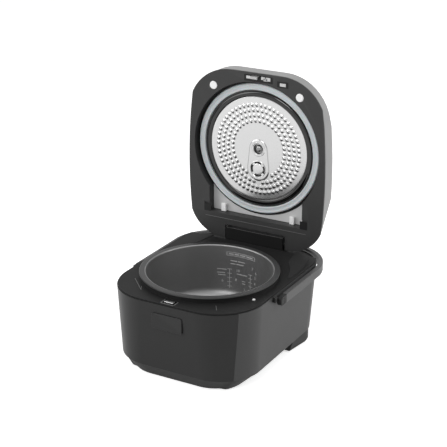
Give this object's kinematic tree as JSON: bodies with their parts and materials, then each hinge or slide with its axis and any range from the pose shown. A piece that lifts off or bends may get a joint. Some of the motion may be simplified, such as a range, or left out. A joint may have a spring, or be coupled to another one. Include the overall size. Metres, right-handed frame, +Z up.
{
  "type": "rice cooker",
  "caption": "Free-standing rice cooker with a hinged lid, lift-out pan, removable inner lid, steam cap, release button and carrying handle",
  "frame": {"origin": "on the floor, under the middle of the whole open cooker", "axes": "+Z up, the front with the release button faces -Y, +X to the right seen from the front"},
  "size_m": [0.2574, 0.3144, 0.4131],
  "materials": {
    "base_plastic": "dark moulded polypropylene, lightly textured",
    "rubber": "black rubber",
    "screw_steel": "zinc plated steel",
    "body_front": "dark grey moulded plastic, satin",
    "body_side": "dark grey metallic satin coat",
    "deck_plastic": "black moulded plastic, satin",
    "black_plastic": "black moulded plastic",
    "housing_plastic": "heat resistant black plastic",
    "copper_litz": "lacquered stranded copper",
    "pale_resin": "glass filled pale resin",
    "ferrite": "sintered ferrite",
    "bright_steel": "bright steel",
    "spring_steel": "spring steel wire",
    "board_green": "glass fibre laminate, green mask",
    "component_blue": "component cases",
    "aluminium": "extruded aluminium",
    "button_plastic": "dark grey moulded plastic, satin",
    "handle_plastic": "dark grey moulded plastic",
    "pan_coating": "grey non-stick coating with fine metallic fleck",
    "lid_grey": "grey metallic satin coat",
    "liner_plastic": "dark grey moulded plastic, satin",
    "pale_plate": "silver grey moulded plastic",
    "white_plastic": "white moulded plastic",
    "silicone": "translucent grey silicone",
    "plate_steel": "polished stamped stainless steel",
    "carrier_plastic": "dark heat resistant plastic",
    "valve_plastic": "grey resin",
    "panel_film": "black gloss film",
    "display_glass": "grey green liquid crystal window",
    "key_grey": "grey keys",
    "key_amber": "orange key",
    "cap_plastic": "dark grey moulded plastic"
  },
  "bodies": {
    "root": {"base": "base_plastic", "rubber_feet": "rubber", "base_screws": "screw_steel", "front_panel": "body_front", "rear_shell": "body_side", "deck": "deck_plastic", "stop_lugs": "black_plastic", "pan_housing": "housing_plastic", "induction_coil": "copper_litz", "coil_holder": "pale_resin", "ferrite_bars": "ferrite", "sensor_holder": "pale_resin", "sensor_spring": "spring_steel", "fan_frame": "black_plastic", "power_board": "board_green", "power_components": "component_blue", "heat_sink": "aluminium", "mains_inlet": "black_plastic", "hinge_tower": "deck_plastic", "hinge_shaft": "bright_steel", "hinge_springs": "spring_steel", "latch_guide": "black_plastic", "latch_spring": "spring_steel", "button_spring": "spring_steel", "handle_pins": "bright_steel"},
    "sensor": {"sensor_cap": "bright_steel"},
    "fan": {"fan_impeller": "black_plastic"},
    "latch": {"latch_slider": "bright_steel"},
    "button": {"release_button": "button_plastic"},
    "handle": {"handle": "handle_plastic", "handle_caps": "black_plastic"},
    "pan": {"inner_pan": "pan_coating"},
    "lid": {"lid_shell": "lid_grey", "lid_liner": "liner_plastic", "hook_plate": "pale_plate", "hook_tabs": "white_plastic", "lid_bumpers": "white_plastic", "striker": "bright_steel", "lid_screws": "screw_steel", "lid_sensor": "bright_steel", "steam_well": "carrier_plastic", "control_panel": "panel_film", "display_window": "display_glass", "control_board": "board_green"},
    "inner_lid": {"inner_lid_plate": "plate_steel", "inner_lid_carrier": "carrier_plastic", "inner_lid_gasket": "silicone", "relief_valve": "valve_plastic", "vent_seal": "silicone"},
    "steam_cap": {"steam_cap": "cap_plastic", "steam_cap_seal": "silicone"},
    "key_start": {"key_start": "key_amber"},
    "key_cancel": {"key_cancel": "key_grey"},
    "key_menu": {"key_menu": "key_grey"},
    "key_timer": {"key_timer": "key_grey"}
  },
  "joints": [
    {"name": "lid_hinge", "type": "hinge", "parent": "root", "child": "lid", "pos_m": [0, 0.1167, 0.1392], "axis": [1, 0, 0], "range_deg": [0, 90], "stiffness_Nm_per_rad": 0.6, "springref_deg": -148.97},
    {"name": "handle_swing", "type": "hinge", "parent": "root", "child": "handle", "pos_m": [0, -0.0385, 0.1195], "axis": [1, 0, 0], "range_deg": [0, 90]},
    {"name": "pan_lift", "type": "slide", "parent": "root", "child": "pan", "axis": [0, 0, -1], "range_m": [-0.14, 0]},
    {"name": "inner_lid_pull", "type": "slide", "parent": "lid", "child": "inner_lid", "axis": [0, 1, 0], "range_m": [-0.03, 0]},
    {"name": "steam_cap_pull", "type": "slide", "parent": "lid", "child": "steam_cap", "axis": [0, -1, 0], "range_m": [-0.03, 0]},
    {"name": "sensor_plunge", "type": "slide", "parent": "root", "child": "sensor", "axis": [0, 0, -1], "range_m": [0, 0.004], "stiffness_N_per_m": 400, "springref_m": -0.003, "deforming": ["sensor_spring"]},
    {"name": "fan_spin", "type": "hinge", "parent": "root", "child": "fan", "pos_m": [-0.056, 0.06, 0.008], "axis": [0, 0, 1], "continuous": true},
    {"name": "button_press", "type": "slide", "parent": "root", "child": "button", "axis": [0, 1, 0], "range_m": [0, 0.003], "stiffness_N_per_m": 600, "springref_m": -0.002, "deforming": ["button_spring"]},
    {"name": "latch_slide", "type": "slide", "parent": "root", "child": "latch", "axis": [0, 1, 0], "range_m": [0, 0.003], "stiffness_N_per_m": 300, "springref_m": -0.002, "deforming": ["latch_spring"]},
    {"name": "key_start_press", "type": "slide", "parent": "lid", "child": "key_start", "axis": [0, -1, 0], "range_m": [0, 0.0008], "stiffness_N_per_m": 800, "springref_m": -0.0006},
    {"name": "key_cancel_press", "type": "slide", "parent": "lid", "child": "key_cancel", "axis": [0, -1, 0], "range_m": [0, 0.0008], "stiffness_N_per_m": 800, "springref_m": -0.0006},
    {"name": "key_menu_press", "type": "slide", "parent": "lid", "child": "key_menu", "axis": [0, -1, 0], "range_m": [0, 0.0008], "stiffness_N_per_m": 800, "springref_m": -0.0006},
    {"name": "key_timer_press", "type": "slide", "parent": "lid", "child": "key_timer", "axis": [0, -1, 0], "range_m": [0, 0.0008], "stiffness_N_per_m": 800, "springref_m": -0.0006}
  ],
  "couplings": [
    {"joint": "handle_swing", "follows": "lid_hinge", "ratio": 0.33333},
    {"joint": "latch_slide", "follows": "button_press", "ratio": 1}
  ]
}
